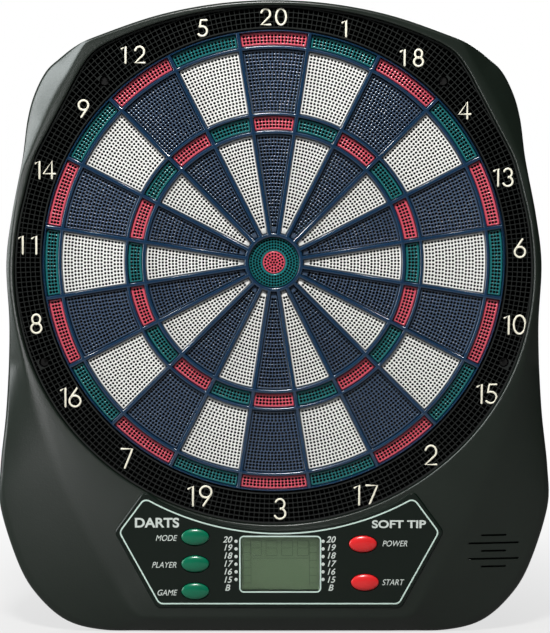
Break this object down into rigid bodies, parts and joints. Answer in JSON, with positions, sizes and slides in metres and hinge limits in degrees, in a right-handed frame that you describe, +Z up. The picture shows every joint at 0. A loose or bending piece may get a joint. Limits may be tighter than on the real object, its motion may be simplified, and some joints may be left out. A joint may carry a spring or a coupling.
{
  "type": "electronic dartboard",
  "caption": "Wall-hung electronic soft-tip dartboard: perforated scoring segments in a web, a numbered catch ring, and a control panel with a display and push buttons.",
  "frame": {"origin": "on the bull's axis, in the plane of the rear cover's back, which lies against the wall", "axes": "+X right seen from the front, +Z up, +Y into the wall; the front faces -Y"},
  "size_m": [0.4746, 0.0342, 0.5427],
  "materials": {
    "housing_plastic": "fine-textured satin black-green moulding",
    "catch_ring_plastic": "satin black moulding",
    "spider_plastic": "satin dark blue moulding",
    "segment_navy": "satin moulding",
    "segment_white": "satin moulding",
    "segment_red": "satin moulding",
    "segment_green": "satin moulding",
    "panel_overlay": "printed film, satin",
    "button_green": "glossy dome",
    "button_red": "glossy dome",
    "lens_clear": "clear moulded window",
    "lcd_glass": "grey-green liquid crystal",
    "circuit_board": "solder mask",
    "rubber_mat": "matt rubber and foam",
    "membrane_film": "clear polyester film",
    "hardboard": "brown hardboard",
    "battery_jacket": "printed steel can",
    "steel": "zinc plated",
    "speaker_black": "paper cone and steel basket",
    "wire_insulation": "insulated wire"
  },
  "bodies": {
    "board": {"front_housing": "housing_plastic", "rear_cover": "housing_plastic", "catch_ring": "catch_ring_plastic", "spider": "spider_plastic", "control_overlay": "panel_overlay", "lcd_lens": "lens_clear", "lcd_module": "lcd_glass", "keypad_mat": "rubber_mat", "main_board": "circuit_board", "switch_membrane": "membrane_film", "damping_mat": "rubber_mat", "backing_board": "hardboard", "membrane_tail": "membrane_film", "speaker": "speaker_black", "battery_1": "battery_jacket", "battery_2": "battery_jacket", "battery_3": "battery_jacket", "battery_spring_1": "steel", "battery_spring_2": "steel", "battery_spring_3": "steel", "speaker_lead": "wire_insulation", "battery_lead": "wire_insulation", "ring_screw_1": "steel", "ring_screw_2": "steel", "ring_screw_3": "steel", "ring_screw_4": "steel", "case_screw_1": "steel", "case_screw_2": "steel", "case_screw_3": "steel", "case_screw_4": "steel", "case_screw_5": "steel", "case_screw_6": "steel"},
    "battery_door": {"battery_door": "housing_plastic"},
    "bull_outer": {"bull_outer": "segment_green"},
    "bull_inner": {"bull_inner": "segment_red"},
    "button_mode": {"button_mode": "button_green"},
    "button_player": {"button_player": "button_green"},
    "button_game": {"button_game": "button_green"},
    "button_power": {"button_power": "button_red"},
    "button_start": {"button_start": "button_red"},
    "sector_20": {"sector_20": "segment_navy"},
    "sector_1": {"sector_1": "segment_white"},
    "sector_18": {"sector_18": "segment_navy"},
    "sector_4": {"sector_4": "segment_white"},
    "sector_13": {"sector_13": "segment_navy"},
    "sector_6": {"sector_6": "segment_white"},
    "sector_10": {"sector_10": "segment_navy"},
    "sector_15": {"sector_15": "segment_white"},
    "sector_2": {"sector_2": "segment_navy"},
    "sector_17": {"sector_17": "segment_white"},
    "sector_3": {"sector_3": "segment_navy"},
    "sector_19": {"sector_19": "segment_white"},
    "sector_7": {"sector_7": "segment_navy"},
    "sector_16": {"sector_16": "segment_white"},
    "sector_8": {"sector_8": "segment_navy"},
    "sector_11": {"sector_11": "segment_white"},
    "sector_14": {"sector_14": "segment_navy"},
    "sector_9": {"sector_9": "segment_white"},
    "sector_12": {"sector_12": "segment_navy"},
    "sector_5": {"sector_5": "segment_white"}
  },
  "joints": [
    {"name": "sector_20_press", "type": "slide", "parent": "board", "child": "sector_20", "axis": [0, 1, 0], "range_m": [0, 0.0012], "stiffness_N_per_m": 500},
    {"name": "sector_1_press", "type": "slide", "parent": "board", "child": "sector_1", "axis": [0, 1, 0], "range_m": [0, 0.0012], "stiffness_N_per_m": 500},
    {"name": "sector_18_press", "type": "slide", "parent": "board", "child": "sector_18", "axis": [0, 1, 0], "range_m": [0, 0.0012], "stiffness_N_per_m": 500},
    {"name": "sector_4_press", "type": "slide", "parent": "board", "child": "sector_4", "axis": [0, 1, 0], "range_m": [0, 0.0012], "stiffness_N_per_m": 500},
    {"name": "sector_13_press", "type": "slide", "parent": "board", "child": "sector_13", "axis": [0, 1, 0], "range_m": [0, 0.0012], "stiffness_N_per_m": 500},
    {"name": "sector_6_press", "type": "slide", "parent": "board", "child": "sector_6", "axis": [0, 1, 0], "range_m": [0, 0.0012], "stiffness_N_per_m": 500},
    {"name": "sector_10_press", "type": "slide", "parent": "board", "child": "sector_10", "axis": [0, 1, 0], "range_m": [0, 0.0012], "stiffness_N_per_m": 500},
    {"name": "sector_15_press", "type": "slide", "parent": "board", "child": "sector_15", "axis": [0, 1, 0], "range_m": [0, 0.0012], "stiffness_N_per_m": 500},
    {"name": "sector_2_press", "type": "slide", "parent": "board", "child": "sector_2", "axis": [0, 1, 0], "range_m": [0, 0.0012], "stiffness_N_per_m": 500},
    {"name": "sector_17_press", "type": "slide", "parent": "board", "child": "sector_17", "axis": [0, 1, 0], "range_m": [0, 0.0012], "stiffness_N_per_m": 500},
    {"name": "sector_3_press", "type": "slide", "parent": "board", "child": "sector_3", "axis": [0, 1, 0], "range_m": [0, 0.0012], "stiffness_N_per_m": 500},
    {"name": "sector_19_press", "type": "slide", "parent": "board", "child": "sector_19", "axis": [0, 1, 0], "range_m": [0, 0.0012], "stiffness_N_per_m": 500},
    {"name": "sector_7_press", "type": "slide", "parent": "board", "child": "sector_7", "axis": [0, 1, 0], "range_m": [0, 0.0012], "stiffness_N_per_m": 500},
    {"name": "sector_16_press", "type": "slide", "parent": "board", "child": "sector_16", "axis": [0, 1, 0], "range_m": [0, 0.0012], "stiffness_N_per_m": 500},
    {"name": "sector_8_press", "type": "slide", "parent": "board", "child": "sector_8", "axis": [0, 1, 0], "range_m": [0, 0.0012], "stiffness_N_per_m": 500},
    {"name": "sector_11_press", "type": "slide", "parent": "board", "child": "sector_11", "axis": [0, 1, 0], "range_m": [0, 0.0012], "stiffness_N_per_m": 500},
    {"name": "sector_14_press", "type": "slide", "parent": "board", "child": "sector_14", "axis": [0, 1, 0], "range_m": [0, 0.0012], "stiffness_N_per_m": 500},
    {"name": "sector_9_press", "type": "slide", "parent": "board", "child": "sector_9", "axis": [0, 1, 0], "range_m": [0, 0.0012], "stiffness_N_per_m": 500},
    {"name": "sector_12_press", "type": "slide", "parent": "board", "child": "sector_12", "axis": [0, 1, 0], "range_m": [0, 0.0012], "stiffness_N_per_m": 500},
    {"name": "sector_5_press", "type": "slide", "parent": "board", "child": "sector_5", "axis": [0, 1, 0], "range_m": [0, 0.0012], "stiffness_N_per_m": 500},
    {"name": "bull_outer_press", "type": "slide", "parent": "board", "child": "bull_outer", "axis": [0, 1, 0], "range_m": [0, 0.0012], "stiffness_N_per_m": 500},
    {"name": "bull_inner_press", "type": "slide", "parent": "board", "child": "bull_inner", "axis": [0, 1, 0], "range_m": [0, 0.0012], "stiffness_N_per_m": 500},
    {"name": "button_mode_press", "type": "slide", "parent": "board", "child": "button_mode", "axis": [0, 1, 0], "range_m": [0, 0.0015], "stiffness_N_per_m": 350},
    {"name": "button_player_press", "type": "slide", "parent": "board", "child": "button_player", "axis": [0, 1, 0], "range_m": [0, 0.0015], "stiffness_N_per_m": 350},
    {"name": "button_game_press", "type": "slide", "parent": "board", "child": "button_game", "axis": [0, 1, 0], "range_m": [0, 0.0015], "stiffness_N_per_m": 350},
    {"name": "button_power_press", "type": "slide", "parent": "board", "child": "button_power", "axis": [0, 1, 0], "range_m": [0, 0.0015], "stiffness_N_per_m": 350},
    {"name": "button_start_press", "type": "slide", "parent": "board", "child": "button_start", "axis": [0, 1, 0], "range_m": [0, 0.0015], "stiffness_N_per_m": 350},
    {"name": "battery_door_hinge", "type": "hinge", "parent": "board", "child": "battery_door", "pos_m": [0, -0.0012, -0.2434], "axis": [1, 0, 0], "range_deg": [0, 100]}
  ]
}
